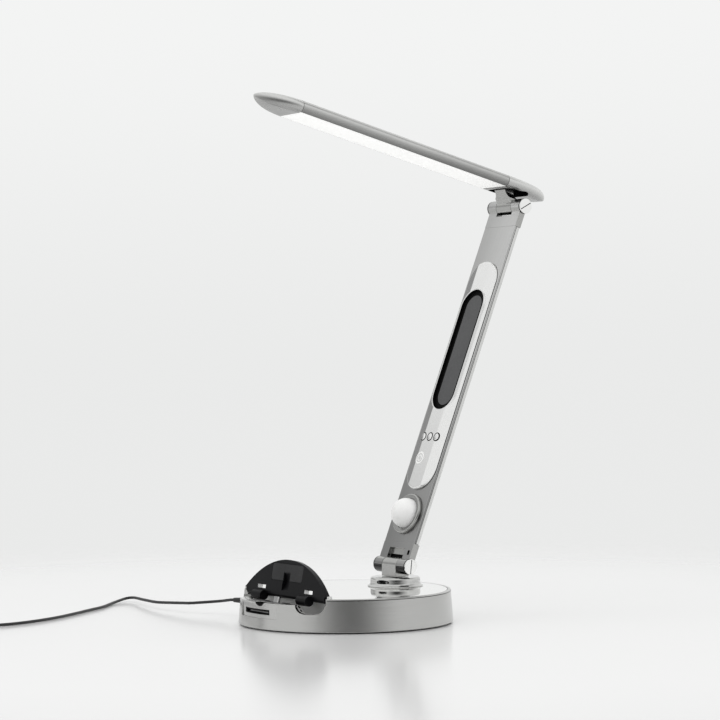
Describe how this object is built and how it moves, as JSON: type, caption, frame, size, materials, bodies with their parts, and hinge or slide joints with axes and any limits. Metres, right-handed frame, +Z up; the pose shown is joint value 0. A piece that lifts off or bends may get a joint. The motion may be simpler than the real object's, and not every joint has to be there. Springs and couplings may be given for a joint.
{
  "type": "led desk lamp",
  "caption": "Slim desk lamp with a long flat light head, a leaning hinged arm with a display panel and buttons, a round swivel base with a folding rest, and a low-voltage lead with its adapter.",
  "frame": {"origin": "middle of the anti-slip pad's underside, on the table", "axes": "+Z up, -Y to the front of the lamp (the side of the folding rest), +X to the lamp's right side as seen from behind the origin looking along +Y"},
  "size_m": [0.3889, 0.5889, 0.4424],
  "materials": {
    "satin_silver": "satin silver",
    "mirror_white": "high gloss, pale silver",
    "chrome": "polished",
    "arm_grey": "satin grey",
    "pod_silver": "silver paint",
    "black_plastic": "fine grain",
    "black_rubber": "matt",
    "dark_glass": "tinted, clear",
    "lcd_grey": "smooth",
    "milk_white": "milky, lets light through",
    "iron": "zinc plated",
    "board_green": "lacquered board",
    "brass": "bright"
  },
  "bodies": {
    "base": {"adapter_boot": "black_rubber", "adapter_pin_1": "brass", "adapter_pin_2": "brass", "anti_slip_pad": "black_rubber", "ballast_weight": "iron", "base_bottom_plate": "iron", "base_housing": "satin_silver", "base_screw_1": "iron", "base_screw_2": "iron", "base_screw_3": "iron", "base_top_plate": "mirror_white", "coil_tie": "black_rubber", "cord_coil": "black_rubber", "cord_run": "black_rubber", "dock_tray": "black_plastic", "flap_hinge_pin": "chrome", "front_port_shell": "black_plastic", "front_port_tongue": "lcd_grey", "lead_plug": "black_plastic", "lead_plug_pin": "chrome", "lead_socket": "black_plastic", "main_circuit_board": "board_green", "power_adapter": "black_plastic", "swivel_bush": "brass"},
    "flap": {"rest_flap": "black_plastic", "rest_pad": "black_rubber"},
    "barrel": {"plug_barrel": "black_plastic", "plug_reversible": "chrome", "plug_slim": "chrome", "plug_micro": "chrome"},
    "swivel": {"swivel_collar": "chrome", "swivel_nut": "brass", "lower_knuckle": "chrome"},
    "arm": {"lower_fork": "chrome", "lower_hinge_pin": "chrome", "lower_hinge_cap_left": "chrome", "lower_hinge_cap_right": "chrome", "arm_channel": "satin_silver", "arm_cover": "arm_grey", "arm_circuit_board": "board_green", "upper_fork": "chrome", "upper_hinge_pin": "chrome", "upper_hinge_cap_left": "chrome", "upper_hinge_cap_right": "chrome", "display_pod": "pod_silver", "display_window": "dark_glass", "display_panel": "lcd_grey", "power_touch_key": "pod_silver", "sensor_ring": "chrome", "sensor_dome": "milk_white", "motion_sensor": "chrome"},
    "head": {"head_neck": "satin_silver", "head_housing": "satin_silver", "head_front_cap": "satin_silver", "head_rear_cap": "satin_silver", "head_diffuser": "milk_white", "led_board": "board_green"},
    "button_1": {"mode_button_1": "pod_silver"},
    "button_2": {"mode_button_2": "pod_silver"},
    "button_3": {"mode_button_3": "pod_silver"}
  },
  "joints": [
    {"name": "swivel_turn", "type": "hinge", "parent": "base", "child": "swivel", "pos_m": [0, 0.0507, 0.028], "axis": [0, 0, 1], "range_deg": [-90, 90]},
    {"name": "arm_tilt", "type": "hinge", "parent": "swivel", "child": "arm", "pos_m": [0, 0.0507, 0.0454], "axis": [1, 0, 0], "range_deg": [-18, 66]},
    {"name": "head_tilt", "type": "hinge", "parent": "arm", "child": "head", "pos_m": [0, 0.17647, 0.35514], "axis": [1, 0, 0], "range_deg": [-35, 80]},
    {"name": "flap_fold", "type": "hinge", "parent": "base", "child": "flap", "pos_m": [0, -0.0586, 0.026], "axis": [1, 0, 0], "range_deg": [0, 101]},
    {"name": "plug_selector", "type": "hinge", "parent": "base", "child": "barrel", "pos_m": [0, -0.07, 0.0163], "axis": [1, 0, 0], "range_deg": [-120, 120]},
    {"name": "button_1_press", "type": "slide", "parent": "arm", "child": "button_1", "axis": [0, 0.9265, -0.3762], "range_m": [0, 0.0005], "stiffness_N_per_m": 400, "springref_m": -0.0004},
    {"name": "button_2_press", "type": "slide", "parent": "arm", "child": "button_2", "axis": [0, 0.9265, -0.3762], "range_m": [0, 0.0005], "stiffness_N_per_m": 400, "springref_m": -0.0004},
    {"name": "button_3_press", "type": "slide", "parent": "arm", "child": "button_3", "axis": [0, 0.9265, -0.3762], "range_m": [0, 0.0005], "stiffness_N_per_m": 400, "springref_m": -0.0004}
  ]
}
